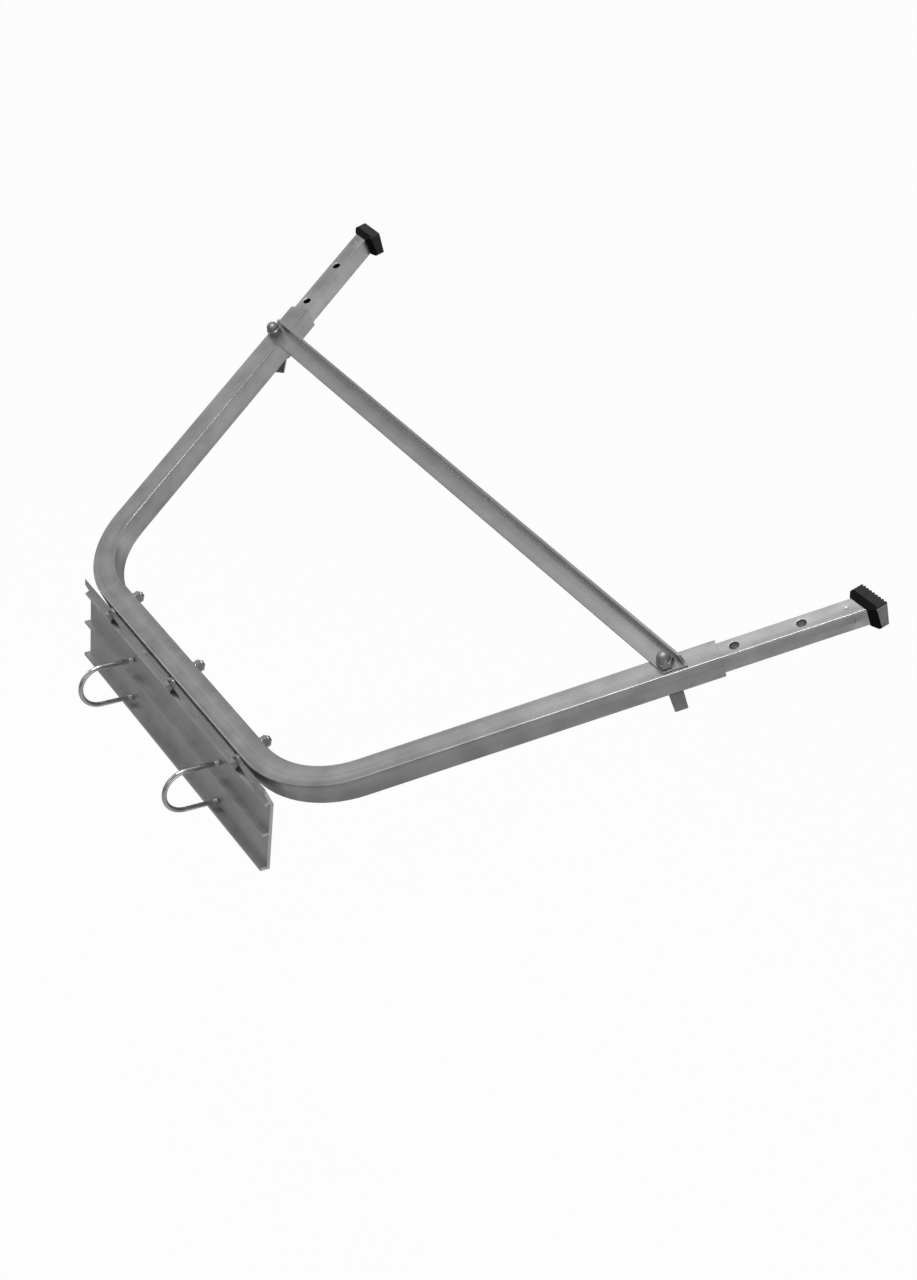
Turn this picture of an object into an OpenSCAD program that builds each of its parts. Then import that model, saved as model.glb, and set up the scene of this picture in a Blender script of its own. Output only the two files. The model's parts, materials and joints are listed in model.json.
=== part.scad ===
// Standoff: a bent square-tube frame that clamps to a level bar and holds it off a wall.
// Millimetres. The origin is the axis of the bar that the two U-bolts clamp,
// halfway between them. X runs along the bar, Y towards the wall, and Z up along
// the bracket's web. Right is +X. The frame lies in a plane tilted about X, so that
// its arms stand square to the wall when the bracket's web leans.

/* [Frame tube] */
// Outside width of the square frame tube
tube_size = 30; // [26:1:36]
// Wall of the frame tube
tube_wall = 2.5; // [2:0.25:3.5]
// Outside corner radius of the frame tube
tube_corner = 2; // [1:0.25:3]
// Half of the straight length along the bracket
straight_half = 196; // [190:1:240]
// Bend radius at the tube's centre line
bend_radius = 126.5; // [90:0.5:150]
// Angle by which each arm spreads outwards
splay = 24.5; // [12:0.5:32]
// Angle by which the frame's plane rises from the normal of the bracket's web
tilt = 27.5; // [20:0.5:32]
// Straight length of each arm past its bend
arm_length = 410; // [380:5:480]

/* [Telescoping arms] */
// Play between the frame tube and the arm tube, on each side
slide_gap = 0.5; // [0.3:0.05:0.8]
// Wall of the arm tube
arm_wall = 2; // [1.5:0.25:3]
// Outside corner radius of the arm tube
arm_corner = 1.5; // [0.75:0.25:2]
// Distance between the setting holes
hole_pitch = 75; // [60:1:80]
// Setting holes between the lock screw and the foot
holes_out = 2; // [1:1:2]
// Setting holes between the lock screw and the hidden end
holes_in = 2; // [1:1:2]
// From the last hidden hole to the hidden end
arm_tail = 30; // [20:1:40]
// From the outermost hole to the cut end, on the centre line
arm_nose = 63; // [55:1:90]
// Depth of the crimp marks that hold the foot's plug
crimp_depth = 1; // [0.5:0.1:1.2]

/* [Feet] */
// Width of the foot along the wall
foot_w = 44.5; // [40:0.5:60]
// Height of the foot
foot_h = 32; // [31:0.5:45]
// Thickness of the foot's full-width pad
foot_pad = 12.5; // [9:0.5:20]
// Length of the bevel between the tube and the pad
foot_bevel = 6.5; // [4:0.5:8]
// How far the bevel's small end stands proud of the arm tube, all round
foot_collar = 1; // [0.5:0.25:2]
// How far the pad's middle stands outside the middle of the tube's end
foot_shift = 1.5; // [0:0.5:5]
// Angle by which the pad leans from the tube's cut end
foot_tilt = 8.5; // [0:0.5:10]
// Corner radius of the pad
foot_corner = 4; // [1:0.5:6]
// Number of upright ribs on the wall face
rib_count = 9; // [5:1:12]
// Height of the ribs
rib_depth = 2; // [1:0.25:3]
// Length of the plug inside the arm tube
plug_length = 32; // [24:1:45]
// Play round the plug
plug_gap = 0.2; // [0.1:0.05:0.4]

/* [Cross brace] */
// Width of the brace's flat leg
brace_w = 25; // [22:1:35]
// Height of the brace's upright leg, over its whole section
brace_lip = 12.5; // [9:0.5:20]
// Thickness of the brace
brace_t = 3; // [2:0.25:4]
// From the lock screw to the brace's edge on the bracket's side
brace_edge = 9.5; // [9:0.5:12]
// From the arm's centre line to the brace's end
brace_end = 10.5; // [10:0.5:14]
// Corner cut off each end of the upright leg
brace_cut = 8; // [3:0.5:9]

/* [Lock screws] */
// Thread diameter of the lock screw
screw_d = 10; // [8:0.5:10]
// How much larger the screw's holes are, on the diameter
screw_play = 1; // [0.6:0.1:1.5]
// From the lock screw to the end of the frame tube
lock_setback = 57; // [40:1:70]
// Width across the flats of the dome nut
dome_af = 17; // [16:0.5:19]
// Height of the dome nut's hexagon
dome_hex_h = 8; // [6:0.5:9]
// Height of the dome above the hexagon
dome_h = 10; // [9:0.5:11]
// Depth of the thread in the dome nut
dome_thread = 12; // [9:0.5:13]
// Outside diameter of the washer under the wings
lock_washer_d = 20; // [18:0.5:24]
// Thickness of the washer under the wings
lock_washer_t = 2; // [1.5:0.1:3]
// Diameter of the winged head's hub
hub_d = 15; // [13:0.5:17]
// Height of the winged head's hub
hub_h = 7; // [5:0.5:12]
// Width of each wing
wing_w = 17; // [12:0.5:20]
// Thickness of each wing
wing_t = 2.5; // [1.5:0.25:4]
// Span over both wings
wing_span = 52; // [44:1:64]
// From the screw's axis to the bend of each wing
wing_root = 9; // [8:0.5:12]
// Angle by which the wings bend down
wing_drop = 38; // [20:1:50]
// Rest angle of the right screw's wings, from square across the arm
wing_turn_right = 0; // [-90:5:90]
// Rest angle of the left screw's wings, from square across the arm
wing_turn_left = 85; // [-90:5:90]

/* [Bracket] */
// Length of the bracket along the clamped bar
bracket_length = 500; // [470:2:620]
// Wall of the bracket
bracket_t = 4; // [3:0.25:5]
// From the clamped bar's axis to the bracket's resting face
rest_y = 33; // [30:0.5:40]
// Depth of the bracket's channel
bracket_depth = 12; // [10:0.5:20]
// From the clamped bar's axis down to the bracket's lower edge
bracket_drop = 37.5; // [35:0.5:45]
// From the clamped bar's axis up to the kink where the slanted wall starts
kink_z = 52.5; // [48:0.5:65]
// From the kink up the slanted wall to the tube's centre line
seat_rise = 13.5; // [13:0.5:16]
// Length of the slanted wall
slant_length = 30; // [29:0.5:36]
// Thickness of the ledge and of the support rib
shelf_t = 3; // [2:0.25:4]
// How far the ledge stands out of the slanted wall
ledge_out = 6; // [3:0.5:6]
// Play between the ledge and the flat of each bolt's head
ledge_play = 0.3; // [0.2:0.1:0.6]
// From the clamped bar's axis up to the top of the support rib
rib_top = 13.5; // [8:0.5:18]

/* [U-bolts] */
// Wire diameter of the U-bolt
wire_d = 6; // [5:0.5:6]
// Inside radius of the U-bolt's bend
u_inner_r = 24; // [23.5:0.5:26]
// From the middle to each U-bolt
u_spread = 121; // [80:1:150]
// How much larger the leg holes are, on the diameter
u_play = 0.8; // [0.5:0.1:1.5]
// Thread left beyond the nut
u_thread_out = 10; // [4:0.5:15]
// Width across the flats of the U-bolt's nut
u_nut_af = 10; // [9.5:0.5:11]
// Height of the U-bolt's nut
u_nut_h = 5; // [4:0.5:7]
// Outside diameter of the U-bolt's washer
u_washer_d = 12.5; // [11:0.5:16]
// Thickness of the U-bolt's washer
u_washer_t = 1.6; // [1:0.1:2.5]

/* [Frame bolts] */
// Thread diameter of the bolts that hold the tube to the bracket
bolt_d = 8; // [6:0.5:8]
// How much larger the bolt holes are, on the diameter
bolt_play = 0.5; // [0.3:0.1:1]
// From the middle bolt to each outer bolt
bolt_x = 174; // [155:1:180]
// Width across the flats of the bolt's head and nut
bolt_af = 13; // [12:0.5:14]
// Height of the bolt's head
bolt_head_h = 5.3; // [4:0.1:6]
// Height of the lock nut's hexagon
bolt_nut_h = 6.5; // [5:0.5:8]
// Height of the lock nut's round collar
bolt_collar_h = 1.5; // [1:0.25:2.5]
// Thread left beyond the lock nut
bolt_thread_out = 2; // [1:0.25:4]
// Outside diameter of the bolt's washers and spacers
bolt_washer_d = 16; // [15:0.5:18]
// Thickness of the washer under the lock nut
bolt_washer_t = 1.6; // [1:0.1:2]
// Thickness of the spacer between the bracket and the tube
spacer_t = 2.5; // [1:0.25:4]

/* [Hidden] */
$fn = 64;

LEFT = -1;
RIGHT = 1;

// Running clearance of a screw in its thread, on the diameter
thread_play = 0.1;
// Extra depth of a cut, so that it clears the face it starts from
over = 1;
// Larger than any section that is cut
span = 200;
// How much the tube's section swells in its bends, on each side
bend_swell = 0.05;

tube_bore = tube_size - 2 * tube_wall;
tube_bore_corner = max(tube_corner - tube_wall, 0.5);
half_tube = tube_size / 2;

// Where the bend ends, in the frame's plane
bend_end_x = straight_half + bend_radius * cos(splay);
bend_end_y = bend_radius * (1 - sin(splay));

// Channel section of the bracket, in Y and Z
web_back = rest_y + bracket_depth;
ledge_rise = seat_rise - bolt_af / 2 - ledge_play;

// Middle of the frame tube's straight part
seat_gap = spacer_t + half_tube;
tube_y = web_back - seat_rise * sin(tilt) + seat_gap * cos(tilt);
tube_z = kink_z + seat_rise * cos(tilt) + seat_gap * sin(tilt);

// Arm tube, measured along the arm from the end of the bend
arm_size = tube_bore - 2 * slide_gap;
arm_bore = arm_size - 2 * arm_wall;
arm_bore_corner = max(arm_corner - arm_wall, 0.4);
lock_u = arm_length - lock_setback;
arm_start = lock_u - holes_in * hole_pitch - arm_tail;
arm_end = lock_u + holes_out * hole_pitch + arm_nose;
hole_d = screw_d + screw_play;
crimp_r = 4;
crimp_top_back = 13;
crimp_side_back = 7;

// Lock screw's axis, in the frame's plane
lock_y = bend_end_y + lock_u * cos(splay);

// Foot, measured from the arm tube's cut end
foot_depth = foot_bevel + foot_pad;
rib_pitch = foot_w / rib_count;
rib_land = rib_pitch * 0.5;
rib_flank = rib_pitch * 0.12;
collar_w = arm_size / cos(splay) + 2 * foot_collar;
collar_h = arm_size + 2 * foot_collar;
plug_size = arm_bore - 2 * plug_gap;

// Heights above and below the frame's plane
brace_top = half_tube + brace_t;
lock_washer_z = -half_tube - lock_washer_t;
screw_tip_z = brace_top + dome_thread - over;
dome_r = min(dome_af / 2 - 0.5, dome_h - 1);

// U-bolt
wire_r = wire_d / 2;
u_leg_z = u_inner_r + wire_r;
u_nut_y = web_back + u_washer_t;
u_leg_end = u_nut_y + u_nut_h + u_thread_out;
tip_chamfer = 0.8;

// Distances along a frame bolt, from the tube's centre line
bolt_seat = -half_tube - spacer_t - bracket_t;
bolt_nut_y = half_tube + bolt_washer_t;
bolt_end_y = bolt_nut_y + bolt_nut_h + bolt_collar_h + bolt_thread_out;
BOLT_PLACES = [-bolt_x, 0, bolt_x];

// Places children in the frame's plane, Y along the arms and Z out of the plane
module in_plane() {
    translate([0, tube_y, tube_z]) rotate([tilt, 0, 0]) children();
}

// Places children on one side of the frame's plane
module plane_side(side) {
    mirror([side == LEFT ? 1 : 0, 0, 0]) children();
}

// Places children at the end of a bend, with X along the arm and Y to the inside
module on_arm(side) {
    in_plane() plane_side(side)
        translate([bend_end_x, bend_end_y, 0]) rotate([0, 0, 90 - splay]) children();
}

// Places children on the lock screw's axis, which is Z
module on_lock(side) {
    on_arm(side) translate([lock_u, 0, 0]) children();
}

// Places children on a frame bolt's axis, with Z towards the wall
module on_frame_bolt(x) {
    in_plane() translate([x, 0, 0]) rotate([-90, 0, 0]) children();
}

// Places children on a U-bolt leg's axis, with Z towards the wall
module on_leg(side, level) {
    translate([side * u_spread, 0, level * u_leg_z]) rotate([-90, 0, 0]) children();
}

module round_square(size, corner) {
    square([size - 2 * corner, size], center = true);
    square([size, size - 2 * corner], center = true);
    for (x = [-1, 1], y = [-1, 1])
        translate([x * (size / 2 - corner), y * (size / 2 - corner)]) circle(r = corner, $fn = 32);
}

// Bar of rounded square section along X
module square_bar(size, corner, length) {
    rotate([0, 90, 0]) linear_extrude(length) round_square(size, corner);
}

// The bent run of the frame: straight part, two bends and two arms
module bent_run(size, corner, arm) {
    translate([-straight_half - over, 0, 0]) square_bar(size, corner, 2 * (straight_half + over));
    for (side = [LEFT, RIGHT]) plane_side(side) {
        translate([straight_half, bend_radius, 0]) rotate([0, 0, -90])
            rotate_extrude(angle = 90 - splay, $fn = 128)
                translate([bend_radius, 0]) round_square(size + 2 * bend_swell, corner);
        translate([bend_end_x, bend_end_y, 0]) rotate([0, 0, 90 - splay])
            translate([-over, 0, 0]) square_bar(size, corner, arm + over);
    }
}

// Through hole along Z, centred on the origin
module cross_hole(d, depth) {
    cylinder(d = d, h = depth, center = true);
}

// Hexagonal prism along Z with the corners of both ends turned off
module hex_prism(af, h) {
    rim = af / 2 - 0.2;
    flare = h / 2 * tan(60);
    intersection() {
        cylinder(d = af / cos(30), h = h, $fn = 6);
        rotate_extrude() polygon([[0, 0], [rim, 0], [rim + flare, h / 2], [rim, h], [0, h]]);
    }
}

// Plain hexagonal nut along Z
module hex_nut(af, h, bore) {
    difference() {
        hex_prism(af, h);
        translate([0, 0, -over]) cylinder(d = bore, h = h + 2 * over);
    }
}

module washer(d, bore, t) {
    difference() {
        cylinder(d = d, h = t);
        translate([0, 0, -over]) cylinder(d = bore, h = t + 2 * over);
    }
}

module u_frame_tube() {
    color("silver") in_plane() difference() {
        bent_run(tube_size, tube_corner, arm_length);
        bent_run(tube_bore, tube_bore_corner, arm_length + over);
        for (side = [LEFT, RIGHT])
            plane_side(side) translate([bend_end_x, bend_end_y, 0]) rotate([0, 0, 90 - splay])
                translate([lock_u, 0, 0]) cross_hole(hole_d, tube_size + 2 * over);
        for (x = BOLT_PLACES) translate([x, 0, 0]) rotate([90, 0, 0])
            cross_hole(bolt_d + bolt_play, tube_size + 2 * over);
    }
}

module arm_tube(side) {
    color("gainsboro") on_arm(side) difference() {
        translate([arm_start, 0, 0])
            square_bar(arm_size, arm_corner, arm_end - arm_start + arm_size);
        translate([arm_start - over, 0, 0])
            square_bar(arm_bore, arm_bore_corner, arm_end - arm_start + arm_size + 2 * over);
        for (i = [-holes_in : holes_out])
            translate([lock_u + i * hole_pitch, 0, 0]) cross_hole(hole_d, arm_size + 2 * over);
        // the end is cut parallel to the wall
        translate([arm_end, 0, 0]) rotate([0, 0, splay])
            translate([0, -span / 2, -span / 2]) cube(span);
        translate([arm_end - crimp_top_back, 0, arm_size / 2 + crimp_r - crimp_depth])
            sphere(r = crimp_r);
        translate([arm_end - crimp_side_back, -arm_size / 2 - crimp_r + crimp_depth, 0])
            sphere(r = crimp_r);
    }
}

// A point of the leaning pad's side view, seen from the tube's cut end
function leaned(x, z) = [
    x * cos(foot_tilt) + z * sin(foot_tilt), z * cos(foot_tilt) - x * sin(foot_tilt)
];

// A point twice as far along the bevel as its end, so that the pad's outline cuts it
function past(start, end) = 2 * end - start;

// Plan of the bevel, from the tube's cut end, with X towards the wall
module bevel_plan() {
    inner = [0, collar_w / 2];
    outer = [0, -collar_w / 2];
    inner_past = past(inner, [foot_bevel, foot_w / 2 - foot_shift]);
    outer_past = past(outer, [foot_bevel, -foot_w / 2 - foot_shift]);
    polygon([inner, outer, outer_past, [span, outer_past[1]], [span, inner_past[1]], inner_past]);
}

// Side view of the bevel, from the tube's cut end, with X towards the wall
module bevel_side() {
    top = [0, collar_h / 2];
    bottom = [0, -collar_h / 2];
    top_past = past(top, leaned(foot_bevel, foot_h / 2));
    bottom_past = past(bottom, leaned(foot_bevel, -foot_h / 2));
    polygon([top, bottom, bottom_past, [span, bottom_past[1]], [span, top_past[1]], top_past]);
}

// Plan of the pad with the ribs of its wall face, with X towards the wall
module rib_plan() {
    pad_face = foot_depth - rib_depth;
    edge = foot_w / 2 + over;
    polygon(concat(
        [[-span, edge], [-span, -edge], [pad_face, -edge]],
        [for (i = [0 : rib_count - 1])
            let (y = (i + 0.5) * rib_pitch - foot_w / 2)
            each [
                [pad_face, y - rib_land / 2 - rib_flank], [foot_depth, y - rib_land / 2],
                [foot_depth, y + rib_land / 2], [pad_face, y + rib_land / 2 + rib_flank]
            ]],
        [[pad_face, edge]]
    ));
}

// Front view of the pad with its round corners
module foot_front() {
    round_w = foot_w - 2 * foot_corner;
    round_h = foot_h - 2 * foot_corner;
    square([foot_h, round_w], center = true);
    square([round_h, foot_w], center = true);
    for (x = [-1, 1], y = [-1, 1])
        translate([x * round_h / 2, y * round_w / 2]) circle(r = foot_corner, $fn = 32);
}

module foot(side) {
    color("dimgray") on_arm(side) {
        translate([arm_end, 0, 0]) rotate([0, 0, splay]) intersection() {
            translate([0, 0, -span / 2]) linear_extrude(span) bevel_plan();
            translate([0, span / 2, 0]) rotate([90, 0, 0]) linear_extrude(span) bevel_side();
            translate([0, -foot_shift, 0]) rotate([0, foot_tilt, 0]) {
                intersection() {
                    translate([0, 0, -span / 2]) linear_extrude(span) rib_plan();
                    translate([-span / 2, 0, 0]) rotate([0, 90, 0]) linear_extrude(span) foot_front();
                }
            }
        }
        difference() {
            translate([arm_end - plug_length, 0, 0])
                square_bar(plug_size, arm_bore_corner, plug_length + plug_size);
            translate([arm_end, 0, 0]) rotate([0, 0, splay])
                translate([foot_bevel / 2, -span / 2, -span / 2]) cube(span);
        }
    }
}

// Section of the brace, with X towards the wall
module brace_section() {
    translate([lock_y - brace_edge, half_tube]) {
        square([brace_w, brace_t]);
        translate([brace_w - brace_t, 0]) square([brace_t, brace_lip]);
    }
}

module cross_brace() {
    reach = bend_end_x + arm_length;
    lip_top = half_tube + brace_lip;
    color("lightgray") difference() {
        in_plane() translate([-reach, 0, 0]) rotate([90, 0, 90])
            linear_extrude(2 * reach) brace_section();
        for (side = [LEFT, RIGHT]) on_lock(side) {
            cross_hole(hole_d, 2 * (brace_top + over));
            // the ends are cut along the arms
            translate([-span, -brace_end - 2 * span, 0]) cube([2 * span, 2 * span, span]);
            // and the upright leg's corners are cut off
            translate([-span, -brace_end, lip_top - brace_cut]) rotate([45, 0, 0])
                translate([0, -span, 0]) cube([2 * span, 2 * span, span]);
        }
    }
}

// Section of the bracket, with X towards the wall and Y up
module bracket_section() {
    intersection() {
        union() {
            translate([web_back - bracket_t, -bracket_drop]) square([bracket_t, kink_z + bracket_drop]);
            translate([rest_y, -bracket_drop]) square([bracket_depth, bracket_t]);
            translate([rest_y, rib_top - shelf_t]) square([bracket_depth - over, shelf_t]);
            translate([web_back, kink_z]) rotate(tilt) {
                translate([-bracket_t, -over]) square([bracket_t, slant_length + over]);
                translate([-bracket_t - ledge_out, ledge_rise - shelf_t]) square([ledge_out + over, shelf_t]);
            }
        }
        translate([rest_y, -span]) square([bracket_depth, 2 * span]);
    }
}

module mounting_bracket() {
    color("lightgray") difference() {
        rotate([90, 0, 90]) linear_extrude(bracket_length, center = true) bracket_section();
        for (x = BOLT_PLACES) on_frame_bolt(x) translate([0, 0, bolt_seat])
            cross_hole(bolt_d + bolt_play, 4 * bracket_t);
        for (side = [LEFT, RIGHT], level = [-1, 1]) on_leg(side, level) translate([0, 0, web_back])
            cross_hole(wire_d + u_play, 4 * bracket_t);
    }
}

module u_bolt(side) {
    color("whitesmoke") {
        translate([side * u_spread, 0, 0]) rotate([180, -90, 0])
            rotate_extrude(angle = 180) translate([u_leg_z, 0]) circle(r = wire_r);
        for (level = [-1, 1]) on_leg(side, level) {
            cylinder(r = wire_r, h = u_leg_end - tip_chamfer);
            translate([0, 0, u_leg_end - tip_chamfer])
                cylinder(r1 = wire_r, r2 = wire_r - tip_chamfer, h = tip_chamfer);
        }
    }
}

module u_bolt_nut(side, level) {
    color("whitesmoke") on_leg(side, level) translate([0, 0, u_nut_y])
        hex_nut(u_nut_af, u_nut_h, wire_d + thread_play);
}

module u_bolt_washers() {
    color("gainsboro") for (side = [LEFT, RIGHT], level = [-1, 1])
        on_leg(side, level) translate([0, 0, web_back]) washer(u_washer_d, wire_d + u_play, u_washer_t);
}

// Both wings of the lock screw along Y, flat over the hub and then bent down
module wings() {
    reach = wing_span / 2;
    fall = (reach - wing_root) * tan(wing_drop);
    half = [
        [wing_root - wing_t * tan(wing_drop / 2), -wing_t],
        [reach - wing_t * sin(wing_drop), -fall - wing_t * cos(wing_drop)],
        [reach, -fall], [wing_root, 0]
    ];
    rotate([90, 0, 90]) linear_extrude(wing_w, center = true)
        polygon(concat(half, [for (i = [len(half) - 1 : -1 : 0]) [-half[i][0], half[i][1]]]));
}

module lock_screw(side) {
    wing_turn = side == LEFT ? wing_turn_left : wing_turn_right;
    color("whitesmoke") on_lock(side) translate([0, 0, lock_washer_z]) {
        translate([0, 0, -hub_h]) cylinder(d = hub_d, h = hub_h);
        translate([0, 0, -over])
            cylinder(d = screw_d, h = screw_tip_z - lock_washer_z + over - tip_chamfer);
        translate([0, 0, screw_tip_z - lock_washer_z - tip_chamfer])
            cylinder(d1 = screw_d, d2 = screw_d - 2 * tip_chamfer, h = tip_chamfer);
        rotate([0, 0, wing_turn]) wings();
    }
}

module lock_washer(side) {
    color("gainsboro") on_lock(side) translate([0, 0, lock_washer_z])
        washer(lock_washer_d, screw_d + screw_play, lock_washer_t);
}

module lock_dome_nuts() {
    color("whitesmoke") for (side = [LEFT, RIGHT]) on_lock(side) translate([0, 0, brace_top])
        difference() {
            union() {
                hex_prism(dome_af, dome_hex_h);
                translate([0, 0, dome_hex_h - over]) cylinder(r = dome_r, h = dome_h - dome_r + over);
                translate([0, 0, dome_hex_h + dome_h - dome_r]) sphere(r = dome_r);
            }
            translate([0, 0, -over]) cylinder(d = screw_d + thread_play, h = dome_thread + over);
        }
}

module frame_bolts() {
    color("whitesmoke") for (x = BOLT_PLACES) on_frame_bolt(x) {
        translate([0, 0, bolt_seat - bolt_head_h]) hex_prism(bolt_af, bolt_head_h);
        translate([0, 0, bolt_seat - over])
            cylinder(d = bolt_d, h = bolt_end_y - bolt_seat + over - tip_chamfer);
        translate([0, 0, bolt_end_y - tip_chamfer])
            cylinder(d1 = bolt_d, d2 = bolt_d - 2 * tip_chamfer, h = tip_chamfer);
    }
}

module frame_spacers() {
    color("gainsboro") for (x = BOLT_PLACES) on_frame_bolt(x)
        translate([0, 0, -half_tube - spacer_t]) washer(bolt_washer_d, bolt_d + bolt_play, spacer_t);
}

module frame_bolt_washers() {
    color("gainsboro") for (x = BOLT_PLACES) on_frame_bolt(x)
        translate([0, 0, half_tube]) washer(bolt_washer_d, bolt_d + bolt_play, bolt_washer_t);
}

module frame_lock_nuts() {
    color("whitesmoke") for (x = BOLT_PLACES) on_frame_bolt(x)
        translate([0, 0, bolt_nut_y]) difference() {
            union() {
                hex_prism(bolt_af, bolt_nut_h);
                translate([0, 0, bolt_nut_h - over])
                    cylinder(d = bolt_af - 2, h = bolt_collar_h + over);
            }
            translate([0, 0, -over])
                cylinder(d = bolt_d + thread_play, h = bolt_nut_h + bolt_collar_h + 2 * over);
        }
}

u_frame_tube();
arm_tube(LEFT);  // arm_tube_left
arm_tube(RIGHT);  // arm_tube_right
foot(LEFT);  // foot_left
foot(RIGHT);  // foot_right
cross_brace();
mounting_bracket();
u_bolt(LEFT);  // u_bolt_left
u_bolt(RIGHT);  // u_bolt_right
u_bolt_nut(LEFT, 1);  // u_bolt_nut_left_upper
u_bolt_nut(LEFT, -1);  // u_bolt_nut_left_lower
u_bolt_nut(RIGHT, 1);  // u_bolt_nut_right_upper
u_bolt_nut(RIGHT, -1);  // u_bolt_nut_right_lower
u_bolt_washers();
lock_screw(LEFT);  // lock_screw_left
lock_screw(RIGHT);  // lock_screw_right
lock_washer(LEFT);  // lock_washer_left
lock_washer(RIGHT);  // lock_washer_right
lock_dome_nuts();
frame_bolts();
frame_spacers();
frame_bolt_washers();
frame_lock_nuts();
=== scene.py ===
import json
import math

import bmesh
import bpy
from mathutils import Matrix, Vector


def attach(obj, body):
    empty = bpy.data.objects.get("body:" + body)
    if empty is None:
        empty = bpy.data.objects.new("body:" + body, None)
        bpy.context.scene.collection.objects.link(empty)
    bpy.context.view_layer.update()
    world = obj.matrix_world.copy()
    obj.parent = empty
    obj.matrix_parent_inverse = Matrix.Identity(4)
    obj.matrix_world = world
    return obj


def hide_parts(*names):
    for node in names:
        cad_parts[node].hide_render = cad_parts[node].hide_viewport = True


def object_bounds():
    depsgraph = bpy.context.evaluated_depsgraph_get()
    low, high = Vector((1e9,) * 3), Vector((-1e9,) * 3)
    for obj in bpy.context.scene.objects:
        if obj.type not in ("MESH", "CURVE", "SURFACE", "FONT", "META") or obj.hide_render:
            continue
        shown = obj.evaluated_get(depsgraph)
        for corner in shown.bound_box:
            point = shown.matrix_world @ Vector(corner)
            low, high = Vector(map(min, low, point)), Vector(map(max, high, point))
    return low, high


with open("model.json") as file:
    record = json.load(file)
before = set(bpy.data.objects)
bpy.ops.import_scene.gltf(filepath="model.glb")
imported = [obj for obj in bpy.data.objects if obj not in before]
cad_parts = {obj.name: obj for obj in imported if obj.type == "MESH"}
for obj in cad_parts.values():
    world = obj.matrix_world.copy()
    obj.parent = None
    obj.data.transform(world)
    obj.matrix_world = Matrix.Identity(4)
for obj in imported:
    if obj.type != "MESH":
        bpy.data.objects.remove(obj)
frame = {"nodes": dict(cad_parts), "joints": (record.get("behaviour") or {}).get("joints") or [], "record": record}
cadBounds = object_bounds()
joints = {joint["name"]: joint for joint in frame["joints"]}
sides = {"left": -1, "right": 1}
mm = 0.001


# where things are
# the frame's plane comes from the lock screws' axis, the arms from their slides
planeNormal = Vector(joints["lock_turn_right"]["axis"]).normalized()
wallward = Vector((0, planeNormal.z, -planeNormal.y))
armAxis = {side: Vector(joints["arm_slide_" + side]["axis"]).normalized() for side in sides}
lockPoint = {side: Vector(joints["lock_turn_" + side]["pos_m"]) for side in sides}
spread = math.asin(armAxis["right"].x)

frameTube = {
    "straightHalf": 196 * mm,
    "bendRadius": 126.5 * mm,
    "lockAlongArm": 353 * mm,  # from the end of the bend to the lock screw
}
armStart = lockPoint["right"] - armAxis["right"] * frameTube["lockAlongArm"]
straightCentre = armStart - wallward * frameTube["bendRadius"] * (1 - math.sin(spread))
straightCentre.x = 0
print("frame loaded:", len(frame["nodes"]), "nodes")


# camera
viewpoint = {
    "place": (2.0327, -0.9471, 1.5092),
    "looksAlong": (-0.70837, 0.48282, -0.51488),
    "up": (-0.48358, 0.19938, 0.85229),
    "lens": 63.17,  # mm on a sensor 36 mm high
    "sensorHeight": 36.0,
    "clipEnd": 60,
}


def makeCamera(look):
    data = bpy.data.cameras.new("camera")
    data.sensor_fit = "VERTICAL"
    data.sensor_height = look["sensorHeight"]
    data.lens = look["lens"]
    data.clip_end = look["clipEnd"]
    back = -Vector(look["looksAlong"]).normalized()
    right = Vector(look["up"]).cross(back).normalized()
    up = back.cross(right)
    camera = bpy.data.objects.new("camera", data)
    turn = Matrix((right, up, back)).transposed().to_4x4()
    camera.matrix_world = Matrix.Translation(look["place"]) @ turn
    bpy.context.scene.collection.objects.link(camera)
    bpy.context.scene.camera = camera


makeCamera(viewpoint)
print("camera placed")


# node helpers
def put(tree, kind, inputs=None, **settings):
    node = tree.nodes.new(kind)
    for key, value in settings.items():
        setattr(node, key, value)
    for key, value in (inputs or {}).items():
        if isinstance(value, bpy.types.NodeSocket):
            tree.links.new(value, node.inputs[key])
        else:
            node.inputs[key].default_value = value
    return node


def calc(tree, operation, *values):
    inputs = dict(enumerate(values))
    return put(tree, "ShaderNodeMath", inputs, operation=operation).outputs[0]


def spanTo(tree, value, low, high, newLow, newHigh):
    inputs = {0: value, 1: low, 2: high, 3: newLow, 4: newHigh}
    return put(tree, "ShaderNodeMapRange", inputs).outputs[0]


def noise(tree, vector, scale, detail=2.0, rough=0.5):
    inputs = {"Vector": vector, "Scale": scale, "Detail": detail, "Roughness": rough}
    return put(tree, "ShaderNodeTexNoise", inputs).outputs["Fac"]


def vectorCalc(tree, operation, first, second):
    return put(tree, "ShaderNodeVectorMath", {0: first, 1: second}, operation=operation).outputs


def stretched(tree, vector, scale):
    return vectorCalc(tree, "MULTIPLY", vector, scale)[0]


def newGroup(name, inputs, outputs):
    group = bpy.data.node_groups.new(name, "ShaderNodeTree")
    for label, kind, value in inputs:
        socket = group.interface.new_socket(label, in_out="INPUT", socket_type=kind)
        if value is not None:
            socket.default_value = value
    for label, kind in outputs:
        group.interface.new_socket(label, in_out="OUTPUT", socket_type=kind)
    return group, group.nodes.new("NodeGroupInput").outputs, group.nodes.new("NodeGroupOutput")


def use(tree, group, **inputs):
    node = tree.nodes.new("ShaderNodeGroup")
    node.node_tree = group
    for key, value in inputs.items():
        if isinstance(value, bpy.types.NodeSocket):
            tree.links.new(value, node.inputs[key])
        else:
            node.inputs[key].default_value = value
    return node.outputs


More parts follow.
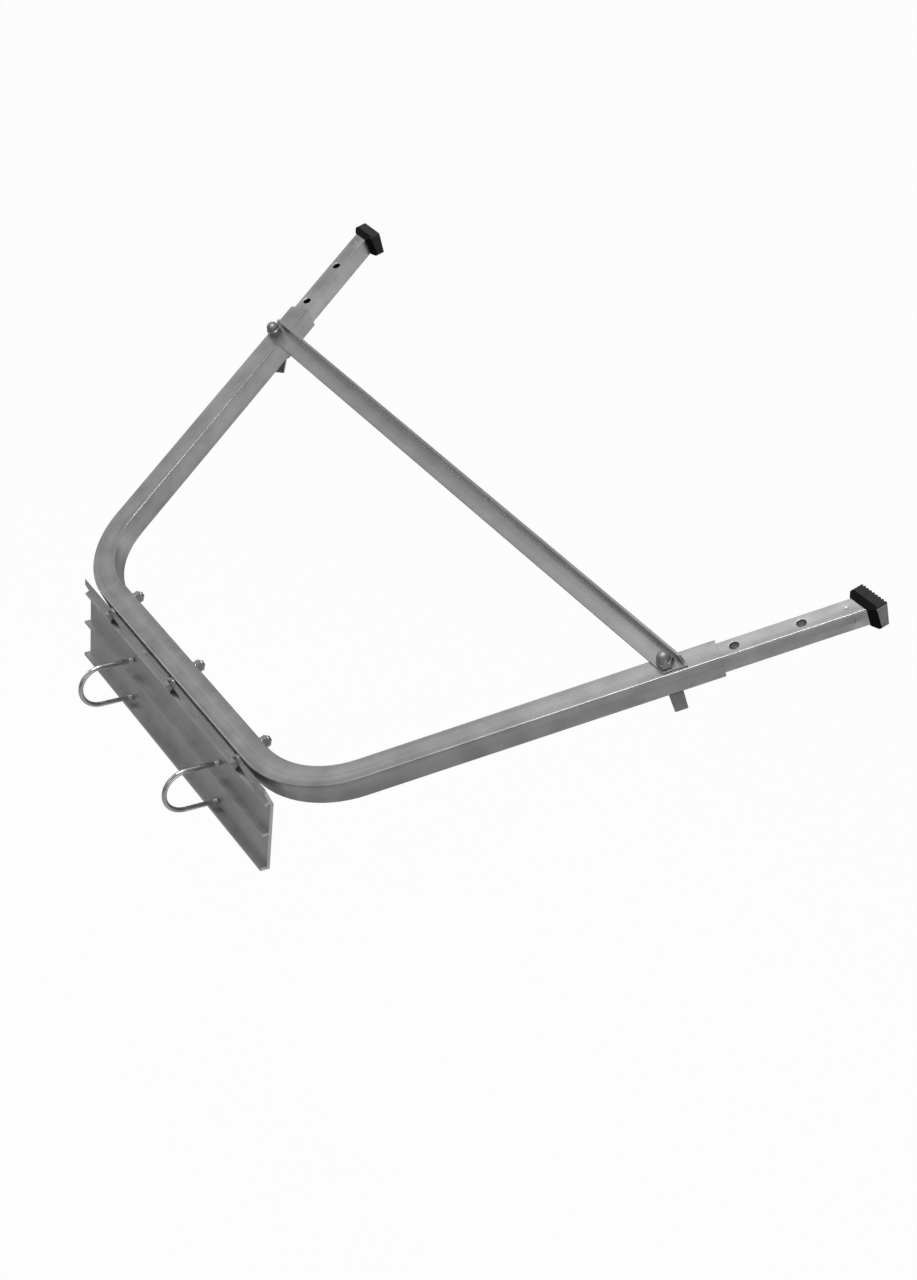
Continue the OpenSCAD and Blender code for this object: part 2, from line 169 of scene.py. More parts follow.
# patterns
def makeTubeRun():
    # turns a place into (across, height, along) of the bent tube, so that lines follow the bends
    vec = "NodeSocketVector"
    group, given, result = newGroup("tubeRun", [("Place", vec, None)], [("Run", vec)])
    fromStraight = vectorCalc(group, "SUBTRACT", given["Place"], straightCentre)[0]
    inward = vectorCalc(group, "DOT_PRODUCT", fromStraight, wallward)["Value"]
    height = vectorCalc(group, "DOT_PRODUCT", fromStraight, planeNormal)["Value"]
    parts = put(group, "ShaderNodeSeparateXYZ", {0: given["Place"]})
    sideways = calc(group, "ABSOLUTE", parts.outputs["X"])
    half = frameTube["straightHalf"]
    radius = frameTube["bendRadius"]
    beyond = calc(group, "MAXIMUM", calc(group, "SUBTRACT", sideways, half), 0.0)
    toCentre = calc(group, "SUBTRACT", inward, radius)
    sine, cosine = math.sin(spread), math.cos(spread)
    onArm = calc(group, "MULTIPLY", beyond, sine)
    onArm = calc(group, "MAXIMUM", calc(group, "MULTIPLY_ADD", toCentre, cosine, onArm), 0.0)
    legX = calc(group, "SUBTRACT", beyond, calc(group, "MULTIPLY", onArm, sine))
    legY = calc(group, "SUBTRACT", toCentre, calc(group, "MULTIPLY", onArm, cosine))
    squares = calc(group, "MULTIPLY_ADD", legX, legX, calc(group, "MULTIPLY", legY, legY))
    across = calc(group, "SUBTRACT", radius, calc(group, "SQRT", squares))
    turn = calc(group, "ARCTAN2", legX, calc(group, "MULTIPLY", legY, -1.0))
    along = calc(group, "MULTIPLY_ADD", turn, radius, calc(group, "MINIMUM", sideways, half))
    along = calc(group, "ADD", along, onArm)
    side = calc(group, "SIGN", parts.outputs["X"])
    along = calc(group, "MULTIPLY", along, side)
    joined = put(group, "ShaderNodeCombineXYZ", {"X": across, "Y": height, "Z": along})
    group.links.new(joined.outputs[0], result.inputs["Run"])
    return group


def makeDieLines():
    # faint lines that an extrusion keeps from its die: fine across, long along Z
    num = "NodeSocketFloat"
    group, given, result = newGroup(
        "dieLines",
        [("Run", "NodeSocketVector", None), ("Fine", num, 900.0), ("Long", num, 4.0)],
        [("Lines", num), ("Bands", num)],
    )
    scales = {"X": given["Fine"], "Y": given["Fine"], "Z": given["Long"]}
    scale = put(group, "ShaderNodeCombineXYZ", scales).outputs[0]
    fine = noise(group, stretched(group, given["Run"], scale), 1.0, 3.0, 0.65)
    wide = stretched(group, scale, (0.22, 0.22, 0.4))
    bands = noise(group, stretched(group, given["Run"], wide), 1.0, 2.0, 0.5)
    group.links.new(spanTo(group, fine, 0.3, 0.7, 0.0, 1.0), result.inputs["Lines"])
    group.links.new(spanTo(group, bands, 0.35, 0.65, 0.0, 1.0), result.inputs["Bands"])
    return group


def makeHandling():
    # what use leaves: cloudy patches, small rubs, a few hairline scratches and pits
    num = "NodeSocketFloat"
    group, given, result = newGroup(
        "handling",
        [("Place", "NodeSocketVector", None), ("Patch", num, 22.0), ("Scratch", num, 160.0)],
        [("Clouds", num), ("Rubs", num), ("Scratches", num), ("Pits", num)],
    )
    place, patch, scratch = given["Place"], given["Patch"], given["Scratch"]
    clouds = noise(group, place, patch, 4.0, 0.55)
    group.links.new(spanTo(group, clouds, 0.36, 0.64, 0.0, 1.0), result.inputs["Clouds"])

    small = calc(group, "MULTIPLY", patch, 6.0)
    rubs = noise(group, stretched(group, place, (1.0, 0.4, 1.3)), small, 3.0)
    group.links.new(spanTo(group, rubs, 0.5, 0.75, 0.0, 1.0), result.inputs["Rubs"])

    # scratches: a noise drawn out along one slanting direction, kept only where another is high
    inputs = {"Vector": place, "Angle": 0.7, "Axis": (0.3, 0.8, 0.5)}
    slanting = put(group, "ShaderNodeVectorRotate", inputs).outputs[0]
    thinness = calc(group, "MULTIPLY", scratch, 5.0)
    thin = noise(group, stretched(group, slanting, (1.0, 0.07, 1.0)), thinness, 1.0)
    hairlines = spanTo(group, thin, 0.72, 0.78, 0.0, 1.0)
    where = spanTo(group, noise(group, place, scratch, 2.0), 0.52, 0.62, 0.0, 1.0)
    group.links.new(calc(group, "MULTIPLY", hairlines, where), result.inputs["Scratches"])

    # pits: small dots in a few places
    inputs = {"Vector": place, "Scale": scratch}
    dots = put(group, "ShaderNodeTexVoronoi", inputs).outputs["Distance"]
    sparse = noise(group, place, calc(group, "MULTIPLY", patch, 2.3), 1.0)
    sparse = spanTo(group, sparse, 0.60, 0.66, 0.0, 1.0)
    pits = calc(group, "MULTIPLY", spanTo(group, dots, 0.05, 0.09, 1.0, 0.0), sparse)
    group.links.new(pits, result.inputs["Pits"])
    return group


tubeRun = makeTubeRun()
dieLines = makeDieLines()
handling = makeHandling()


def newMaterial(name):
    material = bpy.data.materials.new(name)
    material.use_nodes = True
    tree = material.node_tree
    tree.nodes.clear()
    shader = tree.nodes.new("ShaderNodeBsdfPrincipled")
    output = tree.nodes.new("ShaderNodeOutputMaterial")
    tree.links.new(shader.outputs[0], output.inputs["Surface"])
    place = tree.nodes.new("ShaderNodeTexCoord").outputs["Object"]
    return material, tree, shader, place


def shade(tree, dark, light, amount):
    # a grey between two, with the trace of blue that bare metal has
    inputs = {0: amount, 6: (dark, dark, 1.006 * dark, 1), 7: (light, light, 1.006 * light, 1)}
    return put(tree, "ShaderNodeMix", inputs, data_type="RGBA").outputs[2]


def bump(tree, shader, height, strength, distance, under=None):
    inputs = {"Height": height, "Strength": strength, "Distance": distance}
    if under is not None:
        inputs["Normal"] = under
    relief = put(tree, "ShaderNodeBump", inputs)
    tree.links.new(relief.outputs[0], shader.inputs["Normal"])
    return relief.outputs[0]


# the hollows that the crimp marks draw into the arms' walls, near the cut ends
crimps = {
    "armEnd": 213 * mm,  # from the lock screw
    "topBack": 13 * mm,
    "sideBack": 7 * mm,
    "half": 12 * mm,  # of the arm tube
    "reach": 10 * mm,
}


def crimpPoints(look):
    points = []
    for side in sides:
        outward = armAxis[side].cross(planeNormal) * sides[side]
        end = lockPoint[side] + armAxis[side] * look["armEnd"]
        points.append(end - armAxis[side] * look["topBack"] + planeNormal * look["half"])
        points.append(end - armAxis[side] * look["sideBack"] + outward * look["half"])
    return points


def makeHollows(look):
    # how deep a place lies in the hollow round a crimp mark, 0 to 1
    num = "NodeSocketFloat"
    group, given, result = newGroup("hollows", [("Place", "NodeSocketVector", None)], [("Depth", num)])
    depth = 0.0
    for point in crimpPoints(look):
        away = vectorCalc(group, "DISTANCE", given["Place"], point)["Value"]
        share = calc(group, "DIVIDE", away, look["reach"])
        square = calc(group, "MULTIPLY", calc(group, "MULTIPLY", share, share), -1.0)
        depth = calc(group, "MAXIMUM", depth, calc(group, "EXPONENT", square))
    group.links.new(depth, result.inputs["Depth"])
    return group


hollows = makeHollows(crimps)


# aluminium
extrusions = {
    "tubeAluminium": {"dark": 0.30, "light": 0.50, "rough": (0.33, 0.43), "bent": True},
    "armAluminium": {"dark": 0.32, "light": 0.52, "rough": (0.31, 0.41), "bent": True, "crimped": True},
    "braceAluminium": {"dark": 0.32, "light": 0.43, "rough": (0.32, 0.40), "bent": False},
    "bracketAluminium": {"dark": 0.33, "light": 0.49, "rough": (0.34, 0.46), "bent": False},
}


markColour = (0.17, 0.17, 0.171, 1)  # of pits and scratches


def makeAluminium(name, look):
    # drawn or extruded, with die lines, cloudy handling marks, pits and hairline scratches
    material, tree, shader, place = newMaterial(name)
    if look["bent"]:
        run = use(tree, tubeRun, Place=place)["Run"]
    else:  # straight profiles lie along X
        turn = put(tree, "ShaderNodeMapping", {"Vector": place, "Rotation": (0, math.radians(90), 0)})
        run = turn.outputs[0]
    lines = use(tree, dieLines, Run=run, Fine=420.0, Long=2.2)
    used = use(tree, handling, Place=place, Patch=26.0, Scratch=120.0)
    tone = calc(tree, "MULTIPLY_ADD", lines["Lines"], 0.16, calc(tree, "MULTIPLY", lines["Bands"], 0.38))
    tone = calc(tree, "MULTIPLY_ADD", used["Clouds"], 0.46, tone)
    colour = shade(tree, look["dark"], look["light"], tone)
    marks = calc(tree, "MAXIMUM", calc(tree, "MULTIPLY", used["Scratches"], 0.35), used["Pits"])
    inputs = {0: marks, 6: colour, 7: markColour}
    colour = put(tree, "ShaderNodeMix", inputs, data_type="RGBA").outputs[2]
    tree.links.new(colour, shader.inputs["Base Color"])
    smooth, dull = look["rough"]
    rough = calc(tree, "MULTIPLY_ADD", used["Rubs"], 0.35, calc(tree, "MULTIPLY", lines["Bands"], 0.65))
    tree.links.new(spanTo(tree, rough, 0.0, 1.0, smooth, dull), shader.inputs["Roughness"])
    shader.inputs["Metallic"].default_value = 0.9
    height = calc(tree, "SUBTRACT", calc(tree, "MULTIPLY", lines["Lines"], 0.4), marks)
    fine = bump(tree, shader, height, 0.12, 0.00003)
    if look.get("crimped"):
        depth = use(tree, hollows, Place=place)["Depth"]
        bump(tree, shader, calc(tree, "MULTIPLY", depth, -1.0), 1.0, 0.0008, under=fine)
    return material


aluminium = {name: makeAluminium(name, look) for name, look in extrusions.items()}


# the cut finish is lighter than the extrusions: a painted highlight on cut ends and hole rims
cutSheen = {"dark": 0.50, "light": 0.72, "rough": (0.36, 0.58), "teeth": 900.0}


def makeCutSheen(look):
    # cut ends and the turned-off rims of the arms' holes, with the fine arcs that a saw blade leaves; their light
    # base paints the highlight that these faces catch
    material, tree, shader, place = newMaterial("cutSheenAluminium")
    wave = put(tree, "ShaderNodeTexWave", {
        "Vector": place, "Scale": look["teeth"], "Distortion": 1.5, "Detail": 2.0,
    }, wave_type="RINGS", rings_direction="X").outputs["Fac"]
    used = use(tree, handling, Place=place, Patch=60.0, Scratch=260.0)
    tone = calc(tree, "MULTIPLY_ADD", wave, 0.6, calc(tree, "MULTIPLY", used["Clouds"], 0.4))
    tree.links.new(shade(tree, look["dark"], look["light"], tone), shader.inputs["Base Color"])
    smooth, dull = look["rough"]
    tree.links.new(spanTo(tree, tone, 0.0, 1.0, dull, smooth), shader.inputs["Roughness"])
    shader.inputs["Metallic"].default_value = 0.9
    bump(tree, shader, wave, 0.2, 0.00005)
    return material


aluminium["cutSheenAluminium"] = makeCutSheen(cutSheen)

# steel, rubber and nylon
platings = {
    "zincPlate": {"dark": 0.48, "light": 0.66, "rough": (0.16, 0.30), "grain": 420.0},
    "dullZinc": {"dark": 0.30, "light": 0.44, "rough": (0.32, 0.46), "grain": 420.0},
    "domeSteel": {"dark": 0.25, "light": 0.36, "rough": (0.48, 0.60), "grain": 420.0},
    "wingSteel": {"dark": 0.25, "light": 0.37, "rough": (0.30, 0.44), "grain": 300.0},
    # lighter steel for the wing plate's long edges: a painted highlight
    "wingEdgeHighlight": {"dark": 0.54, "light": 0.72, "rough": (0.40, 0.55), "grain": 700.0},
}


def makePlating(name, look):
    material, tree, shader, place = newMaterial(name)
    used = use(tree, handling, Place=place, Patch=60.0, Scratch=260.0)
    grain = noise(tree, place, look["grain"], 4.0, 0.6)
    tone = calc(tree, "MULTIPLY_ADD", used["Clouds"], 0.5, calc(tree, "MULTIPLY", grain, 0.5))
    tree.links.new(shade(tree, look["dark"], look["light"], tone), shader.inputs["Base Color"])
    smooth, dull = look["rough"]
    rough = calc(tree, "MAXIMUM", used["Rubs"], calc(tree, "MULTIPLY", grain, 0.6))
    tree.links.new(spanTo(tree, rough, 0.0, 1.0, smooth, dull), shader.inputs["Roughness"])
    shader.inputs["Metallic"].default_value = 1.0
    bump(tree, shader, calc(tree, "SUBTRACT", grain, used["Scratches"]), 0.15, 0.00004)
    return material


plating = {name: makePlating(name, look) for name, look in platings.items()}

rubbers = {
    "footRubber": {"dark": 0.018, "light": 0.042, "rough": (0.50, 0.72), "shine": 0.2, "grain": 1600.0},
    # pale grey for the outward sides; on the rounded edges it paints a highlight
    "paleRubber": {"dark": 0.28, "light": 0.54, "rough": (0.55, 0.70), "shine": 0.4, "grain": 900.0},
    # near-black: paints the shade on the pad's faces toward the ladder
    "paintedShadeRubber": {"dark": 0.004, "light": 0.008, "rough": (0.60, 0.80), "shine": 0.06, "grain": 1600.0},
}


def makeRubber(name, look):
    # moulded rubber: black pads, a pale grey for the outward sides that also paints a highlight on the rounded
    # edges, and a near-black that paints the shade of the faces toward the ladder
    material, tree, shader, place = newMaterial(name)
    used = use(tree, handling, Place=place, Patch=70.0, Scratch=200.0)
    grain = noise(tree, place, look["grain"], 3.0, 0.6)
    tone = calc(tree, "MULTIPLY_ADD", used["Clouds"], 0.6, calc(tree, "MULTIPLY", grain, 0.4))
    tree.links.new(shade(tree, look["dark"], look["light"], tone), shader.inputs["Base Color"])
    smooth, dull = look["rough"]
    tree.links.new(spanTo(tree, used["Clouds"], 0.0, 1.0, smooth, dull), shader.inputs["Roughness"])
    shader.inputs["Specular IOR Level"].default_value = look["shine"]
    bump(tree, shader, grain, 0.35, 0.0001)
    return material


nylonLook = {"dark": 0.50, "light": 0.62, "grain": 500.0}


def makeNylon(look):
    material, tree, shader, place = newMaterial("insertNylon")
    grain = noise(tree, place, look["grain"], 3.0, 0.6)
    tree.links.new(shade(tree, look["dark"], look["light"], grain), shader.inputs["Base Color"])
    tree.links.new(spanTo(tree, grain, 0.0, 1.0, 0.38, 0.5), shader.inputs["Roughness"])
    return material


rubber = {name: makeRubber(name, look) for name, look in rubbers.items()}
nylon = makeNylon(nylonLook)
print("materials made")

# how pieces are placed and built
bodyOf = {node: body for body, nodes in frame["record"]["behaviour"]["bodies"].items() for node in nodes}


def axisFrame(point, axis, across=(1, 0, 0)):
    # a frame at a point whose Z is the axis, and whose X is as near to across as it can be
    z = Vector(axis).normalized()
    x = Vector(across)
    x = (x - z * x.dot(z)).normalized()
    turn = Matrix((x, z.cross(x), z)).transposed().to_4x4()
    return Matrix.Translation(point) @ turn


def growRings(shape, rings, count):
    # extrudes a loop of corners from ring to ring; a ring is a frame and a rule for each corner's place
    angleOf = shape.verts.layers.float.new("angle")
    corners = bmesh.ops.create_circle(shape, cap_ends=False, segments=count, radius=1.0)["verts"]
    for corner in corners:
        corner[angleOf] = math.atan2(corner.co.y, corner.co.x)
    firstEdges = list({edge for corner in corners for edge in corner.link_edges})
    edges = firstEdges
    for number, (place, rule) in enumerate(rings):
        if number:
            fresh = bmesh.ops.extrude_edge_only(shape, edges=edges)["geom"]
            corners = [item for item in fresh if isinstance(item, bmesh.types.BMVert)]
            loop = set(corners)
            fresh = [item for item in fresh if isinstance(item, bmesh.types.BMEdge)]
            edges = [edge for edge in fresh if loop.issuperset(edge.verts)]
        for corner in corners:
            corner.co = place @ Vector(rule(corner[angleOf]))
    return firstEdges, edges


def grown(rings, count, closed=False):
    # one closed solid: its ends are capped, or joined to each other round a bore
    part = bmesh.new()
    first, last = growRings(part, rings, count)
    if closed:
        bmesh.ops.bridge_loops(part, edges=first + last)
    else:
        bmesh.ops.edgeloop_fill(part, edges=first)
        bmesh.ops.edgeloop_fill(part, edges=last)
    bmesh.ops.recalc_face_normals(part, faces=part.faces)
    return part


def turned(rules, count=48, closed=True):
    return grown([(Matrix.Identity(4), rule) for rule in rules], count, closed)


def roundRule(radius, height):
    return lambda angle: (radius * math.cos(angle), radius * math.sin(angle), height)


def roundRules(*corners):
    return [roundRule(radius, height) for radius, height in corners]


cornerCut = 0.2 * mm  # how far the corners of nuts and heads are turned off, beyond the flats
threads = {"depth": 0.55, "rows": 6}  # share of the pitch, and rings in one turn


def hexRule(acrossFlats, height, lean):
    # a hexagon with its corners turned off: lean is 1 at its bottom and -1 at its top
    def rule(angle):
        radius = acrossFlats / 2 / math.cos(angle % math.radians(60) - math.radians(30))
        beyond = max(0.0, radius - acrossFlats / 2 + cornerCut)
        lift = height + lean * beyond * math.tan(math.radians(30))
        return radius * math.cos(angle), radius * math.sin(angle), lift
    return rule


def threadRule(radius, pitch, height, most, lift):
    # a vee thread whose crest winds once round in a pitch
    def rule(angle):
        crest = abs(2 * ((height / pitch - angle / math.tau) % 1) - 1)
        reach = min(radius - threads["depth"] * pitch * (1 - crest), most)
        return reach * math.cos(angle), reach * math.sin(angle), lift
    return rule


def addPart(shape, part, place, material=0):
    # moves a part to its place and adds it to the shape
    for face in part.faces:
        face.material_index += material
    bmesh.ops.transform(part, matrix=place, verts=part.verts)
    mesh = bpy.data.meshes.new("part")
    part.to_mesh(mesh)
    part.free()
    shape.from_mesh(mesh)
    bpy.data.meshes.remove(mesh)


def mergedCopy(node):
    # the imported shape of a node, with its triangles joined into whole faces
    shape = bmesh.new()
    shape.from_mesh(frame["nodes"][node].data)
    bmesh.ops.remove_doubles(shape, verts=shape.verts, dist=0.002 * mm)
    bmesh.ops.dissolve_limit(shape, angle_limit=math.radians(0.5), verts=shape.verts, edges=shape.edges)
    return shape


def soften(shape, width, sharpest):
    # rounds every edge that turns by more than the angle, and gives back the new faces
    sharp = [
        edge for edge in shape.edges
        if len(edge.link_faces) == 2 and edge.calc_face_angle(0.0) > math.radians(sharpest)
    ]
    return bmesh.ops.bevel(
        shape, geom=sharp, offset=width, offset_type="OFFSET", affect="EDGES",
        segments=2, profile=0.5, material=-1, clamp_overlap=True,
    )["faces"]


def finishPiece(name, shape, materials, node):
    # makes the object, which stands for a node and rides on its body
    mesh = bpy.data.meshes.new(name)
    shape.to_mesh(mesh)
    shape.free()
    for material in materials:
        mesh.materials.append(material)
    mesh.polygons.foreach_set("use_smooth", [True] * len(mesh.polygons))
    mesh.set_sharp_from_angle(angle=math.radians(31))
    piece = bpy.data.objects.new(name, mesh)
    bpy.context.scene.collection.objects.link(piece)
    even = piece.modifiers.new("even normals", "WEIGHTED_NORMAL")
    even.keep_sharp = True
    even.weight = 75
    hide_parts(node)
    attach(piece, bodyOf[node])
    return piece


# profiles and tubes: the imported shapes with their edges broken
profiles = {
    "mounting_bracket": {"edge": 0.55, "slot": "bracket", "finish": "bracketAluminium", "ends": (1, 0, 0)},
    "cross_brace": {"edge": 0.5, "slot": "brace", "finish": "braceAluminium", "ends": (1, 0, 0)},
}
for side in sides:
    profiles["arm_tube_" + side] = {
        "edge": 0.25, "slot": "arm_tube", "finish": "armAluminium", "ends": wallward, "side": side,
    }


holes = {
    "radius": 5.5 * mm,
    "pitch": 75 * mm,
    "half": 12 * mm,  # of the arm tube
    "deburred": 1.0 * mm,
}


def deburr(shape, side, look):
    # turns off the rims of the setting holes, and gives back the new faces
    def onRim(vert):
        reach = vert.co - lockPoint[side]
        along = (reach.dot(armAxis[side]) + look["pitch"] / 2) % look["pitch"] - look["pitch"] / 2
        across = reach.dot(planeNormal.cross(armAxis[side]))
        flush = abs(abs(reach.dot(planeNormal)) - look["half"]) < 0.1 * mm
        return flush and abs(math.hypot(along, across) - look["radius"]) < 0.1 * mm

    rims = [edge for edge in shape.edges if edge.calc_face_angle(0.0) > 1 and all(map(onRim, edge.verts))]
    return bmesh.ops.bevel(
        shape, geom=rims, offset=look["deburred"], offset_type="OFFSET", affect="EDGES",
        segments=3, profile=0.5, material=-1, clamp_overlap=False,
    )["faces"]


def makeProfile(node, look):
    shape = mergedCopy(node)
    rimHighlights = deburr(shape, look["side"], holes) if "side" in look else []
    # the hole rims get the light cut finish, a painted highlight
    for face in rimHighlights:
        face.material_index = 1
    edges = set(soften(shape, look["edge"] * mm, sharpest=45))
    ends = Vector(look["ends"])
    shape.normal_update()
    for face in shape.faces:
        # the cut ends get the light cut finish too, a painted highlight
        if abs(face.normal.dot(ends)) > 0.88 and face not in edges:
            face.material_index = 1
    finishes = [aluminium[look["finish"]], aluminium["cutSheenAluminium"]]
    finishPiece(node + "_profile", shape, finishes, node)


for node, look in profiles.items():
    makeProfile(node, look)
print("profiles made:", len(profiles))

# feet: the moulded pads with soft edges
feet = {"edge": 0.5, "sharpest": 20}
for side in sides:
    node = "foot_" + side
    shape = mergedCopy(node)
    roundedEdges = set(soften(shape, feet["edge"] * mm, sharpest=feet["sharpest"]))
    shape.normal_update()
    for face in shape.faces:
        ahead = face.normal.dot(wallward)
        outward = face.normal.x * sides[side]
        # outward sides turn pale grey, and the rounded edges turn pale as a painted highlight
        if outward > 0.8 or (face in roundedEdges and ahead < 0.2):
            face.material_index = 1
        # faces toward the ladder get the near-black rubber, a painted shade
        elif ahead < -0.1:
            face.material_index = 2
    finishPiece(node + "_rubber", shape, list(rubber.values()), node)
print("feet made")

# washers and spacers
washers = {
    "lock_washer": {"bore": 11, "across": 20, "thick": 2.0},
    "u_bolt_washers": {"bore": 6.8, "across": 12.5, "thick": 1.6},
    "frame_spacers": {"bore": 8.5, "across": 16, "thick": 2.5},
    "frame_bolt_washers": {"bore": 8.5, "across": 16, "thick": 1.6},
}
tube = {"half": 15 * mm, "lockWasher": 2.0 * mm, "braceTop": 18 * mm}
uBolt = {
    "spread": 121 * mm,
    "legHeight": 27 * mm,
    "bowSteps": 32,
    "wire": 6 * mm,
    "pitch": 1.0 * mm,
    "threadFrom": 35.5 * mm,
    "end": 61.6 * mm,
    "chamfer": 0.8 * mm,
    "webBack": 45 * mm,
    "washer": 1.6 * mm,
    "nutAcross": 10 * mm,
    "nutHeight": 5 * mm,
    "play": 0.05 * mm,  # between nut and washer, so that the nut turns freely
}
frameBolt = {
    "places": (-174 * mm, 0.0, 174 * mm),
    "thread": 8 * mm,
    "pitch": 1.25 * mm,
    "across": 13 * mm,
    "headHeight": 5.3 * mm,
    "spacer": 2.5 * mm,
    "bracketWall": 4.0 * mm,
    "washer": 1.6 * mm,
    "nutHeight": 6.5 * mm,
    "collarHeight": 1.5 * mm,
    "collar": 11 * mm,
    "threadOut": 2.0 * mm,
    "threadFrom": 10 * mm,
    "chamfer": 0.8 * mm,
}
frameBoltFrames = [
    axisFrame(straightCentre + Vector((place, 0, 0)), wallward) for place in frameBolt["places"]
]
lockFrames = {side: axisFrame(lockPoint[side], planeNormal, armAxis[side]) for side in sides}
legFrames = {
    (side, level): axisFrame((sides[side] * uBolt["spread"], 0, lift * uBolt["legHeight"]), (0, 1, 0))
    for side in sides for level, lift in (("upper", 1), ("lower", -1))
}


def washerRules(look, low):
    bore, rim, thick = look["bore"] / 2 * mm, look["across"] / 2 * mm, look["thick"] * mm
    soft = 0.16 * mm
    return roundRules(
        (bore, low + soft), (bore + soft, low), (rim - 2 * soft, low), (rim - 0.6 * soft, low + 0.6 * soft),
        (rim, low + 2 * soft), (rim, low + thick - soft), (rim - soft, low + thick),
        (bore + soft, low + thick), (bore, low + thick - soft),
    )


def makeWashers(node, kind, low, frames):
    shape = bmesh.new()
    for place in frames:
        addPart(shape, turned(washerRules(washers[kind], low)), place)
    finishPiece(node + "_turned", shape, [plating["zincPlate"]], node)


for side in sides:
    low = -tube["half"] - tube["lockWasher"]
    makeWashers("lock_washer_" + side, "lock_washer", low, [lockFrames[side]])
makeWashers("u_bolt_washers", "u_bolt_washers", uBolt["webBack"], legFrames.values())
makeWashers("frame_spacers", "frame_spacers", -tube["half"] - frameBolt["spacer"], frameBoltFrames)
makeWashers("frame_bolt_washers", "frame_bolt_washers", tube["half"], frameBoltFrames)
print("washers made")


def nutRules(across, height, thread, low):
    flat = across / 2 - cornerCut
    bore = thread / 2 + 0.05 * mm
    sink = 0.35 * mm
    top = low + height
    return [
        *roundRules((bore + sink, low), (flat, low)), hexRule(across, low, 1), hexRule(across, top, -1),
        *roundRules((flat, top), (bore + sink, top), (bore, top - sink), (bore, low + sink)),
    ]


def threadRings(radius, pitch, start, end, chamfer):
    # rows of a threaded end along Z
    count = round((end - start) / pitch * threads["rows"])
    rules = []
    for row in range(count + 1):
        height = start + (end - start) * row / count
        rules.append(threadRule(radius, pitch, height, radius - chamfer + (end - height), height))
    return rules


# U-bolts with rolled threads on both legs
def uBoltRings(look):
    # from the upper leg's end, round the bow, to the lower leg's end
    radius, reach = look["wire"] / 2, look["legHeight"]
    plain = roundRule(radius, 0.0)
    threadLength = look["end"] - look["threadFrom"]
    count = round(threadLength / look["pitch"] * threads["rows"])

    def leg(level, ahead):
        rings = []
        for row in range(count + 1):
            height = look["end"] - threadLength * row / count
            most = radius - look["chamfer"] + look["end"] - height
            rule = threadRule(radius, look["pitch"], height, most, 0.0)
            rings.append((axisFrame((0, height, level), (0, ahead, 0)), rule))
        foot = (0, look["threadFrom"] - look["pitch"], level)
        return rings + [(axisFrame(foot, (0, ahead, 0)), plain)]

    bow = []
    for step in range(look["bowSteps"] + 1):
        turn = math.pi * step / look["bowSteps"]
        point = (0, -reach * math.sin(turn), reach * math.cos(turn))
        bow.append((axisFrame(point, (0, -math.cos(turn), -math.sin(turn))), plain))
    return leg(reach, -1) + bow + leg(-reach, 1)[::-1]


for side in sides:
    shape = bmesh.new()
    place = Matrix.Translation((sides[side] * uBolt["spread"], 0, 0))
    addPart(shape, grown(uBoltRings(uBolt), 24), place)
    finishPiece("u_bolt_" + side + "_threaded", shape, [plating["zincPlate"]], "u_bolt_" + side)
    for level in ("upper", "lower"):
        node = "u_bolt_nut_" + side + "_" + level
        shape = bmesh.new()
        low = uBolt["webBack"] + uBolt["washer"] + uBolt["play"]
        rules = nutRules(uBolt["nutAcross"], uBolt["nutHeight"] - uBolt["play"], uBolt["wire"], low)
        addPart(shape, turned(rules), legFrames[side, level])
        finishPiece(node + "_turned", shape, [plating["zincPlate"]], node)
print("U-bolts made")


# frame bolts and their lock nuts
def makeFrameBolts(look):
    seat = -tube["half"] - look["spacer"] - look["bracketWall"]
    radius, across = look["thread"] / 2, look["across"]
    flat = across / 2 - cornerCut
    end = tube["half"] + look["washer"] + look["nutHeight"] + look["collarHeight"] + look["threadOut"]
    head = seat - look["headHeight"]
    under = seat - 0.3 * mm  # where the washer face under the head begins
    rules = [
        roundRule(flat - 0.1 * mm, head), hexRule(across, head, 1), hexRule(across, under, 0),
        *roundRules((flat, under), (flat - 0.1 * mm, seat), (radius + 0.3 * mm, seat)),
        *roundRules((radius, seat + 0.4 * mm), (radius, look["threadFrom"] - look["pitch"])),
        *threadRings(radius, look["pitch"], look["threadFrom"], end, look["chamfer"]),
    ]
    shape = bmesh.new()
    for place in frameBoltFrames:
        addPart(shape, turned(rules, closed=False), place)
    finishPiece("frame_bolts_threaded", shape, [plating["dullZinc"]], "frame_bolts")


